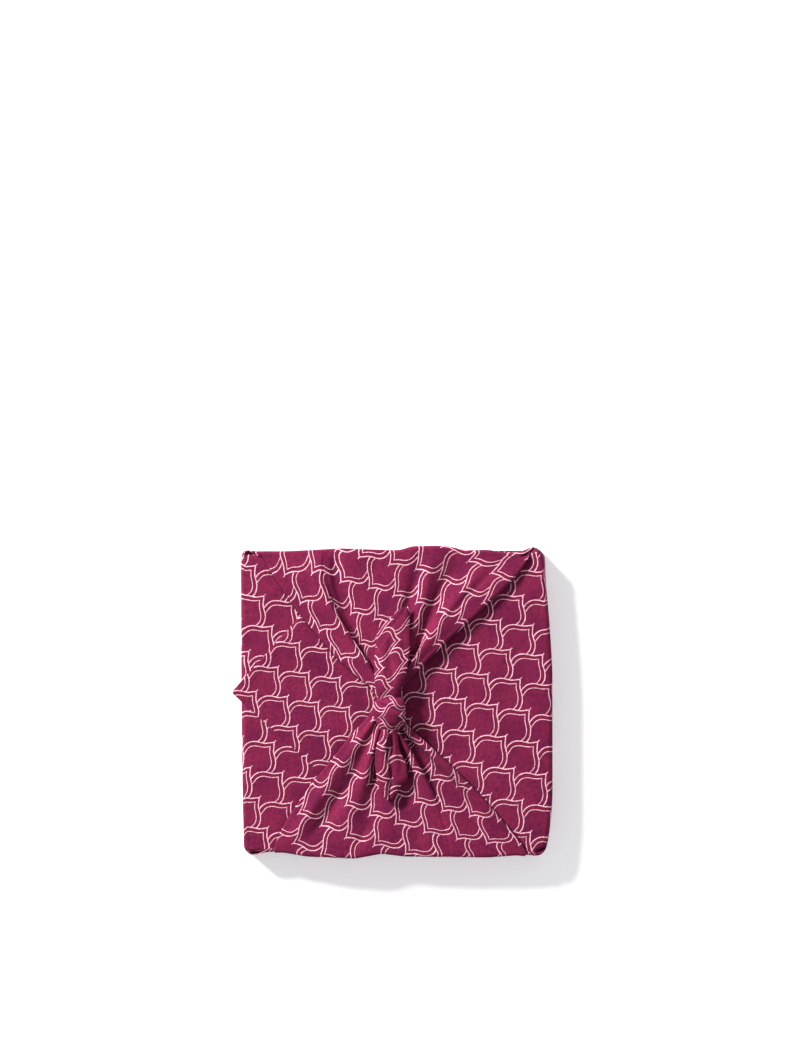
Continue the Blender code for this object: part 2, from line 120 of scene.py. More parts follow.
SOUTH_FOLDS = [Fold(*row) for row in (
    (-131, -106, -112, -66, -60, -23, -9, (-0.8, 0.8, 3, 9), (-159, -159, -133, -91), (170, 222, 278, 335)),
    (-112, -90, -112, -56, -63, -20, -13, (-0.2, 3.4, 6, 12), (-139, -138, -116, -84), (175, 226, 279, 332)),
    (-98, -68, -111, -42, -66, -17, -16, (0.8, 0.6, 2.5, 9), (-125, -111, -94, -77), (179, 232, 279, 330)),
    (-71, -47, -115, -31, -72, -15, -19, (2, 4, 7, 13), (-97, -83, -76, -72), (184, 233, 277, 328)),
    (-44, -30, -122, -22, -80, -13, -22, (2.4, 0.6, 0.4, 7), (-69, -61, -61, -68), (189, 230, 271, 326)),
    (-12, -8, -120, -6, -77, -10, -23, (0.6, 2.6, 3.5, 9), (-36, -34, -39, -62), (193, 235, 277, 326)),
    (9, 10, -117, 9, -74, -6, -24, (1.2, 0.8, 0.6, 8), (-15, -13, -19, -56), (194, 240, 282, 326)),
    (56, 44, -111, 23.5, -66, -2, -23, (2.2, 4.4, 10, 14), (32, 29, 1, -49), (196, 250, 291, 328)),
    (59, 46, -111, 25.5, -65.5, -0.5, -22.8, (2, 3.8, 8.4, 12), (35, 31, 3.5, -48), (196, 250.5, 292, 328)),
    (63, 49, -110.5, 24.3, -65, -0.6, -22.6, (1.9, 2.8, 0, 6), (39, 34, 8, -47), (196, 251.5, 294, 329)),
    (92, 73, -104, 33, -59, 0.5, -22, (1.4, 0.4, -1.2, 4), (68, 65, 14, -44), (195, 258, 299, 331)),
    (115, 86, -104, 40, -58, 3, -20, (1.8, 5.4, 10.6, 13), (90, 83, 25.5, -42), (194, 259, 302, 334)),
    (142, 96, -109, 45, -58, 5, -18, (1.3, 4.6, 8, 11), (117, 94, 32, -39), (191, 254, 304, 336)),
)]
NORTH_THROAT = (-9.5, 3.0, 46.0)
SOUTH_THROAT = (-7.5, -19.0, 46.0)
THROAT_SPREAD = 0.5
NECK_STEPS = 4
NECK_STEP = 4.0
FOLD_STEPS = 10
FAN_ROWS = 110
FAN_INSET = 3.0
FAN_RIM = 3.6
FAN_RIM_STEPS = 6
ROLL_STEPS = 9
MOST_ROLL = 4.2
NECK_ROLL = 1.0
NECK_ROLL_POWER = 6  # how late along the flap the roll narrows to that of the neck
LEAST_ROLL = 0.7
TUCK = 42.0  # cloth turned under past the roll
TUCK_STEPS = 7
TUCK_NARROWS = 0.8  # share of the tuck that is gone at the neck
TUCK_DROP = 6.0
EDGE_STRIDE = 3  # every third point of a rolled edge is kept for finding the painted shade beside it
NORTH_EDGE_SHADE = (0.85, 0.7)  # how dark the painted shade is beside the west and the east edge of the gathered flap
SOUTH_EDGE_SHADE = (0.35, 0.8)

# East corner, lying over the west one
EAST_TIP = (-174.0, 12.0)
EAST_TIP_BLUNT = 1.0
NORTH_HEM_SLOPE = 1.14
SOUTH_HEM_SLOPE = -0.93
HEM_RUN = 1.45  # length along a hem for each millimetre to the east
HEM_DROP = 0.5
HEM_DROP_REACH = 2.0
# Section of the turned edge: how far out, how far down
HEM_TURN = ((0.0, 0.0), (0.35, 0.2), (0.45, 0.6), (0.2, 0.95), (-2.0, 1.05))
WEST_TIP_X = 160.0
CORNER_STEPS = 6
WALL_COLUMNS = 84
WEST_LID_ROWS = 60
EAST_LID_ROWS = 112
TUCKED_HALF = 158.0
WEST_TIP_MARGIN = 2.0
END_DENSE = 0.35  # spacing at a free row's very ends, against the middle's
END_REACH = 14.0
FREE_FROM_WEST = -122.0  # where the free rows of the two flaps start
FREE_FROM_EAST = 138.0

# Creases laid on the folds: the line in plan, how far it lifts the cloth, how wide it is
FADE_POWER = 0.6  # how soon a mark is at its full depth

NORTH_MARKS = (
    (((-58, 118), (-51, 98), (-41, 76), (-32, 58), (-25, 43)), -1.6, 4),
    (((27, 163), (22, 133), (13, 108), (8, 90)), -1.8, 4.5),
    (((68, 150), (52, 127), (36, 94), (25, 68), (14, 50)), -2.2, 4),
    (((40, 160), (33, 130), (24, 100)), 1.4, 5),
    (((100, 158), (84, 135), (60, 105), (40, 78)), 1.2, 5),
    (((120, 160), (98, 137), (70, 108), (48, 84)), -1.4, 3),
    (((-120, 150), (-100, 118), (-78, 92), (-55, 66)), -1, 3.5),
    (((-20, 160), (-24, 140), (-22, 120)), -1, 5),
    (((153, 170), (149, 166), (143, 162), (136, 158)), -6, 1.6),
)
SOUTH_MARKS = (
    (((-34, -47), (-40, -72), (-51, -91), (-61, -101), (-74, -124), (-98, -149)), -2.6, 5),
    (((-23, -72), (-23, -80), (-23.5, -92)), -4.5, 2.2),
    (((-28, -126), (-31, -134), (-36, -143), (-44, -158)), -1.6, 4),
    (((12, -50), (13, -63), (12, -80)), -3, 2.6),
    (((15, -36), (24, -48), (33, -57), (43, -67)), -6, 3.6),
    (((43, -67), (54, -80), (70, -97), (88, -124)), -3, 4.2),
    (((19, -35), (46, -60), (73, -88), (98, -118)), 1.8, 3.5),
    (((4, -102), (8, -107), (12, -115)), -1.6, 5),
    (((21, -134), (24, -142), (27, -150)), -1.4, 5),
    (((-112, -148), (-92, -118), (-70, -86)), 1.2, 5),
)
EAST_MARKS = (
    (((160, 86), (144, 68), (128, 51), (112, 34)), -1.3, 2.2),
    (((-116, 114), (-95, 92), (-78, 66), (-50, 42), (-30, 20)), -1.2, 2.2),
    (((-108, -110), (-88, -88), (-69, -61), (-45, -34), (-27, -12)), -1, 2.2),
    (((-150, 36), (-110, 20), (-60, 24)), -0.8, 9),
    (((-140, -20), (-100, -30), (-60, -26)), 0.8, 9),
    (((164, 10), (130, -4), (90, 4)), -0.7, 12),
    (((160, -100), (120, -84), (96, -92)), 0.8, 10),
    (((158, 130), (138, 112), (128, 92)), 0.8, 8),
    (((152, -160.5), (157, -159), (162, -155.5)), -7, 1.7),
    (((153, 170), (149, 166), (145, 162)), -6, 1.5),
)
WEST_MARKS = (
    (((-144, 164), (-129, 140), (-114, 112), (-95, 92)), -1.4, 2),
    (((-164, 160.5), (-159, 162), (-151, 161)), -8, 1.5),
    (((-157, 160), (-149, 158), (-139, 155)), -3, 1.5),
    (((-163, -161), (-155, -162.5), (-146, -161)), -9, 1.9),
    (((-133, -160), (-122, -140), (-108, -112)), -1.2, 2.4),
    (((-162, 120), (-140, 104), (-122, 100)), 0.8, 8),
    (((-160, -60), (-140, -84), (-120, -120)), 0.9, 8),
)

# Knot and free tails
KNOT = (
    # x, y, z, half width, half thickness, lean
    (-6, 8.5, 45, 10.5, 2, 0),
    (-5.8, 6.6, 48, 13.6, 6, 1),
    (-6.5, 0, 50, 16.6, 9.6, 2),
    (-7, -9, 50, 18.2, 10.8, 2),
    (-5.2, -18, 49.2, 16.2, 10, 1),
    (-5.6, -25, 47.4, 12.3, 8, 0),
    (-7.5, -31, 45.4, 7, 4.8, 0),
    (-9, -35, 44.2, 2.5, 2, 0),
)
KNOT_MARKS = (
    (((-24, 2), (-10, -2), (4, -7), (13, -9)), -3.2, 1.7),
    (((-27, -11), (-14, -17), (-2, -25), (6, -33)), -3.2, 1.8),
    (((-22, -4), (-6, -9), (10, -17)), 1.2, 3.4),
    (((-20, 6), (-6, 3), (10, 1)), 1.2, 2.6),
    (((-12, 8), (-12, 4), (-10, 0)), -1.6, 1.4),
    (((2, -10), (6, -16), (7, -24)), -2, 1.5),
)
KNOT_WAIST = 46.0  # the creases lie above this height only
KNOT_ROWS = 44
KNOT_COLUMNS = 64

NORTH_TAIL = (
    # y, left, right, height, bow
    (2, -16, 3, 50, 1),
    (12, -20, 5.5, 52, 2),
    (21, -22, 8.1, 52.6, 2.4),
    (33, -22.6, 11.9, 51.6, 2.2),
    (48, -22.6, 15.2, 49.2, 1.8),
    (60, -21.4, 16.2, 47.2, 1.6),
    (69, -20.5, 16.3, 46, 1.4),
    (80, -19.3, 15.9, 44.4, 1.2),
    (84, -15.5, 15.8, 44, 1),
    (93, -5.4, 15.6, 43.2, 0.8),
    (99, 1, 15.4, 42.8, 0.5),
    (103, 6, 15.2, 42.6, 0.3),
    (105.3, 14.2, 15, 42.4, 0),
)
SOUTH_TAIL = (
    # y, left, right, height, bow
    (-24, -13, 1, 50, 1),
    (-32, -16.7, 2.4, 49.5, 2),
    (-39, -18.8, 3.4, 49, 2.2),
    (-45, -20.5, 4.2, 48.6, 2.2),
    (-50, -21.3, 4.9, 48, 2),
    (-58, -21.9, 8.6, 47, 1.8),
    (-66.4, -21.8, 12.7, 46, 1.6),
    (-74, -20.9, 13.2, 45.2, 1.4),
    (-80.5, -19.8, 13, 44.6, 1.2),
    (-89, -18, 5.9, 43.8, 0.8),
    (-97, -16, 2.2, 43.2, 0.5),
    (-101, -12, -0.8, 42.8, 0.3),
    (-104.8, -7.6, -6.4, 42.6, 0),
)
# Across a tail: share of its width, height over its base. The cloth turns under at the edges,
# and on the south tail it turns over at the west edge into a strip on top.
NORTH_ACROSS = (
    (0.3, -1.5), (0.1, -1.4), (0, -0.9), (-0.01, -0.1), (0.04, 0.6), (0.15, 1.2),
    (0.3, 1), (0.45, 0.3), (0.6, 0.7), (0.75, 1.2), (0.88, 0.6), (0.97, -0.4),
    (1, -1.1), (0.95, -1.7), (0.7, -1.8), (0.4, -1.8))
SOUTH_ACROSS = (
    (0.4, 2.4), (0.3, 2.5), (0.12, 2.1), (0.01, 1.7), (-0.01, 1), (0.02, 0.3),
    (0.2, 0), (0.4, -0.2), (0.52, 0.2), (0.7, 1.4), (0.9, 0.5), (0.99, -0.3),
    (1, -1), (0.95, -1.5), (0.7, -1.7), (0.4, -1.7))
NORTH_TAIL_MARKS = (
    (((-2, 20), (-3, 34), (-8, 52), (-4, 70)), -1.6, 3),
    (((6, 36), (9, 56), (8, 80)), -1, 3),
    (((-12, 16), (-13, 34), (-14, 50)), 1, 2.6),
    (((-14, 62), (-4, 76), (6, 92)), 0.8, 3),
)
SOUTH_TAIL_MARKS = (
    (((-4.5, -32), (-4.2, -44), (-4.6, -57)), -6, 2),
    (((3, -52), (6, -66), (4, -82)), -1, 3),
    (((-13, -40), (-15, -60), (-14, -84)), 0.8, 3),
    (((-4, -66), (-6, -80), (-7, -96)), -1.4, 2.6),
)
# Where a tip of the print stands, and the steps to the next tips one period up and one column aside
NORTH_TAIL_PRINT = ((5.6, 70.0), (26.3, 8.2), (8.8, -21.7))
SOUTH_TAIL_PRINT = ((-4.0, -79.4), (28.0, 19.0), (28.2, -14.3))
KNOT_PRINT = ((-18.5, -14.5), (-22.0, -2.0), (-12.0, 20.0))
TAIL_ROWS = 60
TAIL_COLUMNS = 70
TAIL_SPAN = 30.0  # a tail's usual width
LEAST_TAIL = 0.3
FULL_TAIL = 12.0  # a tail narrower than this is also thinner
CORNER_CUT = 0.25
CORNER_CUTS = 2

# The printed repeat
TIP_WAY = (-0.677, 0.737)  # which way the scales' tips point on the flat cloth
ANCHOR = (259.7, 33.2)  # one tip on the flat cloth
PERIOD = 35.75
COLUMN = 29.5
DROP = 0.544
SCALE_SHAPE = (
    # depth behind the tip, half width
    (0, 0), (2, 1.3), (4.1, 3.1), (6.5, 5.1), (8.9, 7.7), (10.6, 10.6), (12.2, 13.4), (14, 15.9),
    (15.9, 17.8), (18, 19.3), (20, 20.4), (22.5, 21.1), (25.2, 21.4), (30, 20.9), (36, 20.2), (80, 20.2))
SHAPE_REACH = 80.0  # the depth and the width that stand at 1 in the shape curves
SHAPE_WIDE = 30.0
OUTER_LINE = 1.05
INNER_GAP = 4.2  # from the outline to the middle of the inner line, near the tip
INNER_GAP_SIDE = 5.2
INNER_LINE = 0.75
INNER_GAP_GROWS = 16.0  # depth at which the gap is at its widest
INNER_DEPTH = 60.0
INNER_SAMPLES = 241
INNER_SMOOTH = 4
INNER_END = 40.0
INNER_STEP = 1.6
SLOPE_DEPTHS = (0, 3, 5.5, 7.5, 9.5, 11.5, 13.5, 16, 18.5, 22, 27, SHAPE_REACH)
SLOPE_REACH = 1.5

FOLDED_BACK = 2 * BOX_HALF + BOX_HEIGHT  # the flat cloth's place over the middle of the box
EAST_SLIP = 0.04  # how the east flap's print creeps west of EAST_SLIP_FROM
EAST_SLIP_FROM = 30.0
EAST_PULL = (0.05, 0.075)  # how it is drawn out towards the south-east, south of EAST_PULL_FROM
EAST_PULL_FROM = 10.0
EAST_PULL_SPREAD = 40.0
WEST_SLIP = (2.9, -6.0)
WEST_TURN = (0.047, -0.025)

GROUND = (0.226, 0.0136, 0.0620)
GROUND_SHADE = (0.160, 0.0086, 0.0520)
BAND = (0.205, 0.0118, 0.0450)
LINE = (1.0, 0.56, 0.70)
PAINTED_CREASE_SHADE = (0.045, 0.002, 0.014)  # painted shade: darkening in the crevice beside a gathered flap's rolled edge
CREASE_SHADE_REACH = 1.7
CREASE_SHADE_CORE = 0.2
WAVER = 0.9  # how far the print wavers, and how often per metre
WAVER_RATE = 90.0
LINE_SOFT = 0.12
INNER_SOFT = 0.1
BAND_SOFT = 0.2
# The outline runs on past each tip as a flick: where it ends and where it is full, along and aside
FLICK_LENGTH = (1.5, 1.2)
FLICK_HALF = (0.55, 0.4)
CLOUD_RATE = 28.0  # faint fading of the ground
CLOUD_RAMP = (0.35, 0.7)
TWILL = (1950.0, 2150.0)  # radians per metre along the two ways of the flat cloth
THREAD_SHARE = 0.09
FLECK_RATE = 650.0
RIB_ACROSS = 380.0  # uneven ribs of the twill: how often they change across and along, per metre
RIB_ALONG = 150.0
RIB_SHARE = 0.6
SHADE_RAMP = (0.27, 0.68)
SHADE_SHARE = 0.55
HEM_WIDTH = 8.5
HEM_SOFT = 0.6
HEM_FAR = 200.0  # value of the layers where there is no hem and no edge
STITCH_INSET = 1.6
STITCH_HALF = (0.6, 0.3)
STITCH_PERIOD = 5.0
STITCH_RAMP = (0.2, 0.6)
RIPPLE_RATE = 70.0

# Relief in metres
WEAVE_RELIEF = 0.00012
HEM_RELIEF = 0.00035
STITCH_RELIEF = -0.0006
RIPPLE_RELIEF = 0.0007
BUMP_STRENGTH = 0.7

ROUGH_RAMP = (0.2, 0.9)
ROUGH_LEAST = 0.78
ROUGH_SPAN = 0.1
CLOTH_LOOK = (
    ("Specular IOR Level", 0.12),
    ("Sheen Weight", 0.05),
    ("Sheen Roughness", 0.5),
    ("Sheen Tint", (0.85, 0.45, 0.75, 1.0)),
)

# Floor, light and camera, in metres
FLOOR_HALF = 4.0
FLOOR_LOOK = (
    ("Base Color", (0.93, 0.93, 0.93, 1.0)),
    ("Roughness", 0.95),
    ("Specular IOR Level", 0.1),
    ("Emission Color", (1.0, 1.0, 1.0, 1.0)),
    ("Emission Strength", 0.35),
)
LIGHTS = (
    # name, place, size, power, colour
    ("key", (-2.8, 2.65, 2.2), 1.0, 430, (1.0, 0.985, 0.965)),
    ("fill", (1.8, -0.6, 1.7), 1.6, 8, (0.86, 0.90, 1.0)),
)
LIGHT_TARGET = (0.0, 0.0, 0.03)
SKY = (("Color", (0.96, 0.97, 1.0, 1.0)), ("Strength", 0.38))
PHOTO_CENTRE = (0.0043, 0.1865)
TOP_PLANE = 0.034
FRAME_LONG = 1.1437  # what the photo's long side covers at the top plane
LENS = 120.0
SENSOR = 36.0
CLIP_END = 50.0


# Helpers
def smooth_lookup(table, reach):
    """A two-column table as a lookup with its kinks rounded off."""
    places = np.arange(-LOOKUP_END, LOOKUP_END + LOOKUP_STEP, LOOKUP_STEP)
    xs, values = zip(*table)
    raw = np.interp(places, xs, values)
    steps = np.arange(-3 * reach, 3 * reach + LOOKUP_STEP, LOOKUP_STEP)
    weights = np.exp(-((steps / reach) ** 2) / 2)
    padded = np.pad(raw, len(steps) // 2, mode="edge")
    return places, np.convolve(padded, weights / weights.sum(), mode="valid")


OUT = {
    "north": smooth_lookup(NORTH_OUT, FAN_SIDE_SMOOTH),
    "south": smooth_lookup(SOUTH_OUT, FAN_SIDE_SMOOTH),
    "east": smooth_lookup(EAST_OUT, LID_SIDE_SMOOTH),
    "west": smooth_lookup(WEST_OUT, LID_SIDE_SMOOTH),
}


def out_of(side, place):
    return np.interp(place, *OUT[side])


def through_four(values, t):
    """The smooth curve through four values that stand at 0, 1/3, 2/3 and 1."""
    a, b, c, d = values
    first = -4.5 * (t - 1 / 3) * (t - 2 / 3) * (t - 1)
    second = 13.5 * t * (t - 2 / 3) * (t - 1)
    third = -13.5 * t * (t - 1 / 3) * (t - 1)
    fourth = 4.5 * t * (t - 1 / 3) * (t - 2 / 3)
    return a * first + b * second + c * third + d * fourth


def on_outline(x, y, z):
    """Rounds the upright corners and lets the sides stand out unevenly."""
    x, y, z = np.broadcast_arrays(np.float64(x), np.float64(y), np.float64(z))
    inner = BOX_HALF - CORNER_RADIUS
    over_x = np.abs(x) - inner
    over_y = np.abs(y) - inner
    corner = (over_x > 0) & (over_y > 0)
    pull = np.maximum(over_x, over_y) / np.maximum(np.hypot(over_x, over_y), 1e-9)
    x = np.where(corner, np.copysign(inner + over_x * pull, x), x)
    y = np.where(corner, np.copysign(inner + over_y * pull, y), y)
    share = BASE_SHARE + (1 - BASE_SHARE) * np.minimum(1.0, z / RING_HEIGHT)
    near_x = share * np.minimum(1.0, np.abs(x) / BOX_HALF) ** OUTLINE_POWER
    near_y = share * np.minimum(1.0, np.abs(y) / BOX_HALF) ** OUTLINE_POWER
    out_x = np.where(x > 0, out_of("east", y), -out_of("west", y))
    out_y = np.where(y > 0, out_of("north", x), -out_of("south", x))
    return np.stack((x + near_x * out_x, y + near_y * out_y, z), axis=-1)


def lid_height(points):
    """The top of the hidden box as the first layer lies on it, with a slight sag."""
    x, y = points[..., 0], points[..., 1]
    sag = LID_SAG * np.cos(x / LID_SAG_RUN[0]) * np.cos(y / LID_SAG_RUN[1])
    return BOX_HEIGHT + LID_WAVE * np.sin(x / LID_WAVE_RUN[0] + y / LID_WAVE_RUN[1]) - sag


def off_piece(places, a, b):
    """The step to each place from a straight piece's nearest point, its length, and how far along
    the piece that point is."""
    span = np.linalg.norm(b - a)
    way = (b - a) / span
    rel = places - a
    run = np.clip(rel @ way, 0.0, span)
    off = rel - run[..., None] * way
    return off, np.linalg.norm(off, axis=-1), run


def left_of(line):
    """Unit steps to the left of a line, in plan."""
    ways = np.gradient(line[:, :2], axis=0)
    ways /= np.linalg.norm(ways, axis=1)[:, None]
    return np.stack((-ways[:, 1], ways[:, 0]), axis=-1)


def marked(points, marks, share=1.0):
    """Raises or lowers points along soft lines that fade out at both ends."""
    for line, lift, width in marks:
        line = np.array(line, np.float64)
        spans = np.linalg.norm(np.diff(line, axis=0), axis=1)
        starts = np.concatenate(([0.0], np.cumsum(spans)))
        best = np.full(points.shape[:-1], FAR_AWAY)
        place = np.zeros(points.shape[:-1])
        for a, b, start in zip(line, line[1:], starts):
            _, away, run = off_piece(points[..., :2], a, b)
            nearer = away < best
            best = np.where(nearer, away, best)
            place = np.where(nearer, (start + run) / starts[-1], place)
        fade = np.sin(np.pi * np.clip(place, 0.0, 1.0)) ** FADE_POWER
        points[..., 2] += share * lift * fade * np.exp(-((best / width) ** 2))
    return points


class Cloth:
    """Collects grids of points with their place on the flat cloth."""

    def __init__(self):
        self.points = []
        self.layers = {"flat_cloth": [], "hem": [], "painted_shade": []}
        self.faces = []
        self.edges = []

    def painted_shade(self, points):
        """How far points lie outside the nearest gathered flap's rolled edge, and how dark the painted shade
        beside that edge is.
        """
        best = np.full(points.shape[:-1], FAR_AWAY)
        found = np.zeros((*best.shape, 2))
        for line, out, shade_strength in self.edges:
            for a, b, way_out in zip(line, line[1:], out):
                off, away, _ = off_piece(points[..., :2], a, b)
                signed = np.where(off @ way_out < 0, -away, away)
                nearer = away < best
                best = np.where(nearer, away, best)
                found[..., 0] = np.where(nearer, signed, found[..., 0])
                found[..., 1] = np.where(nearer, shade_strength / MM, found[..., 1])
        return found

    def store(self, points, flat, hem=HEM_FAR, painted_shade=HEM_FAR):
        """Keeps points with their values, and returns the first one's number."""
        first = len(self.points)
        self.points.extend(points.reshape(-1, 3).tolist())
        for layer, values in zip(self.layers.values(), (flat, hem, painted_shade)):
            layer.extend(np.broadcast_to(values, (*points.shape[:-1], 2)).reshape(-1, 2).tolist())
        return first

    def add(self, rows, flats, *values):
        """A grid of points, joined to four-sided faces."""
        points = np.array(rows)
        first = self.store(points, np.array(flats), *values)
        rows, columns = points.shape[:2]
        for i in range(rows - 1):
            for j in range(columns - 1):
                a = first + i * columns + j
                self.faces.append((a, a + 1, a + columns + 1, a + columns))

    def add_face(self, points, flat):
        first = self.store(points, flat)
        self.faces.append(tuple(range(first, first + len(points))))

    def mesh(self, name):
        points = np.array(self.points) + (*TO_MIDDLE, 0)
        mesh = bpy.data.meshes.new(name)
        mesh.from_pydata((points * MM).tolist(), [], self.faces)
        corners = np.empty(len(mesh.loops), np.int32)
        mesh.loops.foreach_get("vertex_index", corners)
        for layer, values in self.layers.items():
            uv = mesh.uv_layers.new(name=layer)
            uv.data.foreach_set("uv", (np.array(values)[corners] * MM).ravel())
        bm = bmesh.new()
        bm.from_mesh(mesh)
        bmesh.ops.remove_doubles(bm, verts=bm.verts[:], dist=MERGE * MM)
        bmesh.ops.recalc_face_normals(bm, faces=bm.faces[:])
        bm.to_mesh(mesh)
        bm.free()
        mesh.shade_smooth()
        return mesh


# Walls and lids
def fold_stations(folds):
    edges = [fold.edge_x for fold in folds]
    steps = np.arange((len(folds) - 1) * FOLD_STEPS + 1) / FOLD_STEPS
    return np.interp(steps, range(len(edges)), edges)


def corner_run(edge):
    """Columns from a slit out to the upright corner."""
    inner = math.copysign(BOX_HALF - CORNER_RADIUS, edge)
    end = math.copysign(BOX_HALF, edge)
    return np.concatenate((
        np.linspace(edge, inner, CORNER_STEPS)[:-1], np.linspace(inner, end, CORNER_STEPS)))


def side_stations(folds):
    """All columns of the north or the south wall, west to east."""
    west = corner_run(folds[0].edge_x)[::-1]
    east = corner_run(folds[-1].edge_x)
    return np.concatenate((west, fold_stations(folds)[1:-1], east))


def upright_stations():
    """Columns of the west and the east wall, closer together at the corners."""
    inner = BOX_HALF - CORNER_RADIUS
    corner = np.linspace(inner, BOX_HALF, CORNER_STEPS)
    middle = np.linspace(-inner, inner, WALL_COLUMNS)
    return np.concatenate((-corner[::-1], middle[1:-1], corner))


def wall_line(side):
    """One side's stations with the two box coordinates of each."""
    half = BOX_HALF if side in ("north", "east") else -BOX_HALF
    if side in ("east", "west"):
        along = upright_stations()
        return np.full_like(along, half), along
    along = side_stations(NORTH_FOLDS if side == "north" else SOUTH_FOLDS)
    return along, np.full_like(along, half)


def wall_row(x, y, inset, z):
    """A row of points round one side, set in from the wall."""
    scale = (BOX_HALF - inset) / BOX_HALF
    return on_outline(x * scale, y * scale, z)


def wall_flat(side, x, y, run):
    """Places on the flat cloth for a wall's points, run millimetres out from the box's foot."""
    reach = BOX_HALF + run
    if side in ("north", "south"):
        folds = NORTH_FOLDS if side == "north" else SOUTH_FOLDS
        edges = [fold.edge_x for fold in folds]
        p = np.interp(x, edges, [fold.cloth_p[0] - fold.edge_x for fold in folds]) + x
        q = np.interp(x, edges, [fold.cloth_q[0] - RIM_REACH for fold in folds]) + reach
        return np.stack((p, q if side == "north" else -q), axis=-1)
    top = wall_row(x, y, RIM_RADIUS, BOX_HEIGHT)
    sign, layer = (1, EAST_LAYER) if side == "east" else (-1, WEST_LAYER)
    bend = 2 * RIM_RADIUS * RIM_STEPS * math.sin(math.pi / 4 / RIM_STEPS)
    whole = BOX_HEIGHT + layer - RIM_RADIUS + bend  # from the foot up and round the rim to the lid
    at_rim = np.stack((np.full_like(y, sign * (BOX_HALF + whole)), y), axis=-1)
    slip = lid_flat(side, top) - at_rim
    share = min(1.0, max(0.0, run / whole))
    return np.stack((np.full_like(y, sign * reach), y), axis=-1) + share * slip


def add_tray(cloth):
    """The underside and the joined part of the four walls."""
    rim = []
    for side in ("east", "north", "west", "south"):
        x, y = wall_line(side)
        if side in ("north", "west"):
            x, y = x[::-1], y[::-1]
        rows, flats = [], []
        for inset, z in FOOT:
            rows.append(wall_row(x, y, inset, z))
            flats.append(wall_flat(side, x, y, z - inset))
        cloth.add(rows, flats)
        rim.append(rows[0][:-1])
    rim = np.concatenate(rim)
    cloth.add_face(rim[::-1], rim[::-1, :2])


def add_skirt(cloth, side, x, y, layer, marks):
    """Rows from the wall's ring up round the rim to a lid."""
    top = BOX_HEIGHT + layer
    rows, flats = [], []
    levels = [(0.0, RING_HEIGHT)]
    for step in range(RIM_STEPS + 1):
        angle = math.pi / 2 * step / RIM_STEPS
        levels.append((RIM_RADIUS * (1 - math.cos(angle)), top - RIM_RADIUS * (1 - math.sin(angle))))
    run = RING_HEIGHT
    for number, (inset, z) in enumerate(levels):
        if number:
            run += math.hypot(inset - levels[number - 1][0], z - levels[number - 1][1])
        row = wall_row(x, y, inset, z)
        blend = inset / RIM_RADIUS
        row[..., 2] += blend * (lid_height(row) - BOX_HEIGHT)
        rows.append(marked(row, marks, (z - RING_HEIGHT) / (top - RING_HEIGHT)))
        flats.append(wall_flat(side, x, y, run))
    cloth.add(rows, flats)


def hem_of(points):
    """Distance from the east flap's free edges, and the way along them."""
    x, y = points[..., 0], points[..., 1]
    tip_x, tip_y = EAST_TIP
    run = x - tip_x
    north = (tip_y + EAST_TIP_BLUNT + run * NORTH_HEM_SLOPE - y) / math.hypot(1, NORTH_HEM_SLOPE)
    south = (y - tip_y + EAST_TIP_BLUNT - run * SOUTH_HEM_SLOPE) / math.hypot(1, SOUTH_HEM_SLOPE)
    return np.stack((np.minimum(north, south), run * HEM_RUN), axis=-1)


def free_row(x, top, bottom):
    """Points from south to north, closer together at both ends."""
    share = (upright_stations() / BOX_HALF + 1) / 2
    from_end = np.minimum(share, 1 - share) * (top - bottom)
    pulled = from_end * (END_DENSE + (1 - END_DENSE) * np.minimum(1.0, from_end / END_REACH))
    y = np.where(share < 0.5, bottom + pulled, top - pulled)
    return np.stack((np.full_like(y, x), y), axis=-1)


def lid_flat(side, points):
    """Places on the flat cloth for a lid, with the small slips that the photo shows."""
    x, y = points[..., 0], points[..., 1]
    if side == "east":
        share = np.clip((x + EAST_PULL_SPREAD) / (2 * EAST_PULL_SPREAD), 0.0, 1.0)
        pull = share * np.maximum(0.0, EAST_PULL_FROM - y)
        p = FOLDED_BACK - x + EAST_SLIP * np.maximum(0.0, EAST_SLIP_FROM - x) - EAST_PULL[0] * pull
        return np.stack((p, y + EAST_PULL[1] * pull), axis=-1)
    p = WEST_SLIP[0] - FOLDED_BACK - x + WEST_TURN[0] * y
    return np.stack((p, WEST_SLIP[1] + (1 + WEST_TURN[1]) * y), axis=-1)


def add_lid(cloth, side, layer, free_rows, marks):
    """A flap over the box top: its corners turn down into the walls, the rest is free."""
    sign = 1 if side == "east" else -1
    count = 2 * CORNER_STEPS - 1
    pick = slice(-1, -count - 1, -1) if side == "east" else slice(0, count)
    north = side_stations(NORTH_FOLDS)[pick]
    south = side_stations(SOUTH_FOLDS)[pick]
    along = upright_stations()
    add_skirt(cloth, side, np.full_like(along, sign * BOX_HALF), along, layer, marks)
    add_skirt(cloth, "north", north, np.full_like(north, BOX_HALF), layer, marks)
    add_skirt(cloth, "south", south, np.full_like(south, -BOX_HALF), layer, marks)
    half = BOX_HALF - RIM_RADIUS
    scale = half / BOX_HALF
    share = (along / BOX_HALF + 1) / 2
    rows = []
    for n, s in zip(north * scale, south * scale):
        rows.append(np.stack((s + (n - s) * share, -half + 2 * half * share), axis=-1))
    rows += [free_row(*row) for row in free_rows]
    places = np.stack(rows)
    points = on_outline(places[..., 0], places[..., 1], BOX_HEIGHT)
    points[..., 2] = lid_height(points) + layer
    hem = HEM_FAR
    if side == "east":
        hem = hem_of(places)
        near = np.clip(hem[..., 0] / HEM_DROP_REACH, 0.0, 1.0)
        points[..., 2] -= (1 - near) ** 2 * HEM_DROP
    points = marked(points, marks)
    flat = lid_flat(side, points)
    # the lid carries the painted shade beside the gathered flaps' rolled edges
    cloth.add(points, flat, hem, cloth.painted_shade(points))
    if side == "east":
        add_hem_turn(cloth, points, flat)


